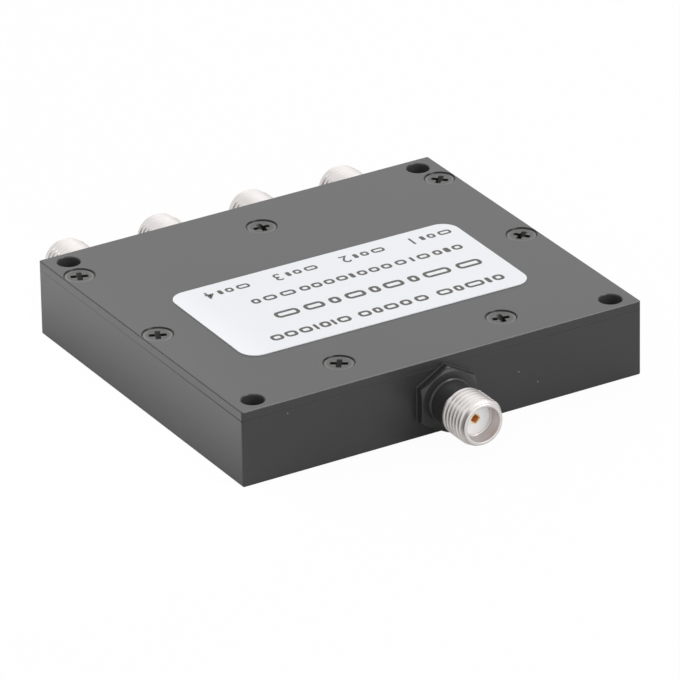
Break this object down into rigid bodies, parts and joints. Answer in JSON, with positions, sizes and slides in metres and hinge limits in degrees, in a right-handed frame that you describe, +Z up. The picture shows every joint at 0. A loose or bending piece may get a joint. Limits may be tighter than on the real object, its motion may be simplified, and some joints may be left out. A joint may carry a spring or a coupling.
{
  "type": "rf power splitter",
  "caption": "Flat black box that splits one radio signal evenly: a coaxial input jack in front, output jacks behind, a screwed lid with a label and corner mounting holes.",
  "frame": {"origin": "centre of the box's base, which is also the middle between the input's and the outputs' ends", "axes": "+Z up through the lid, +Y towards the output jacks, +X to the right of the input seen from the front"},
  "size_m": [0.0572, 0.0688, 0.0103],
  "materials": {
    "black_paint": "matte black paint on machined aluminium",
    "label_stock": "smooth white film",
    "blackened_screws": "black oxide",
    "laminate": "bare glass-filled laminate",
    "gilt_copper": "gold flash",
    "chip_ceramic": "glazed chip with tinned ends",
    "plated_screws": "nickel plate",
    "solder": "bright solder",
    "jack_steel": "bare passivated barrel; flange and neck painted black",
    "white_insulator": "waxy white fluoropolymer"
  },
  "bodies": {
    "root": {"housing": "black_paint", "lid": "black_paint", "label": "label_stock", "lid_screws": "blackened_screws", "circuit_board": "laminate", "divider_traces": "gilt_copper", "isolation_resistors": "chip_ceramic", "board_screws": "plated_screws", "solder_joints": "solder", "input_shell": "jack_steel", "input_dielectric": "white_insulator", "input_contact": "gilt_copper", "output_1_shell": "jack_steel", "output_1_dielectric": "white_insulator", "output_1_contact": "gilt_copper", "output_2_shell": "jack_steel", "output_2_dielectric": "white_insulator", "output_2_contact": "gilt_copper", "output_3_shell": "jack_steel", "output_3_dielectric": "white_insulator", "output_3_contact": "gilt_copper", "output_4_shell": "jack_steel", "output_4_dielectric": "white_insulator", "output_4_contact": "gilt_copper"}
  },
  "joints": []
}
